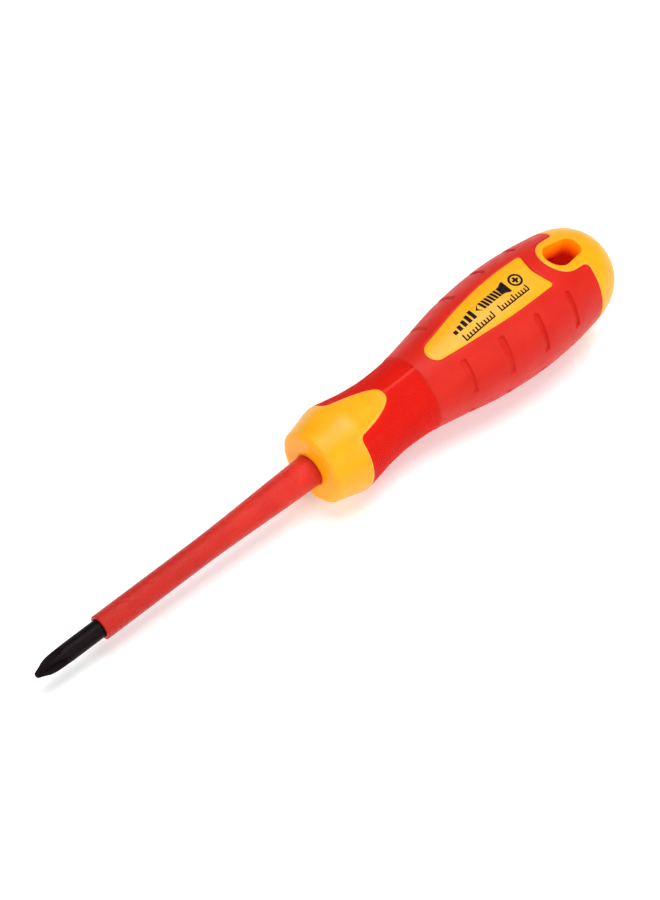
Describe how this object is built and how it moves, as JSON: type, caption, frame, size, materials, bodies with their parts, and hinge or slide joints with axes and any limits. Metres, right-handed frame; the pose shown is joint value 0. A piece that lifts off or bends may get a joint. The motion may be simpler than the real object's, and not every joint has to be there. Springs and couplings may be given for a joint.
{
  "type": "insulated cross-head screwdriver",
  "caption": "Insulated cross-head screwdriver with a sleeved blade, a flared finger guard and a contoured two-colour handle that has a hang hole through its butt.",
  "frame": {"origin": "centre of the blunt nose of the tip, on the tool's axis", "axes": "+X along the tool's axis from the butt towards the tip and out of it, +Z out of the upper label panel, +Y across the handle so that the hang hole runs along Z"},
  "size_m": [0.1775, 0.029, 0.0288],
  "materials": {
    "blackened_steel": "black-oxide, satin",
    "sleeve_plastic": "satin",
    "core_plastic": "satin",
    "yellow_plastic": "satin",
    "neck_rubber": "satin, fine ribs",
    "grip_rubber": "satin"
  },
  "bodies": {
    "root": {"blade": "blackened_steel", "blade_insulation": "sleeve_plastic", "handle_core": "core_plastic", "front_collar": "yellow_plastic", "neck_grip": "neck_rubber", "main_grip": "grip_rubber", "label_panel_top": "yellow_plastic", "label_panel_bottom": "yellow_plastic", "end_cap": "yellow_plastic"}
  },
  "joints": []
}
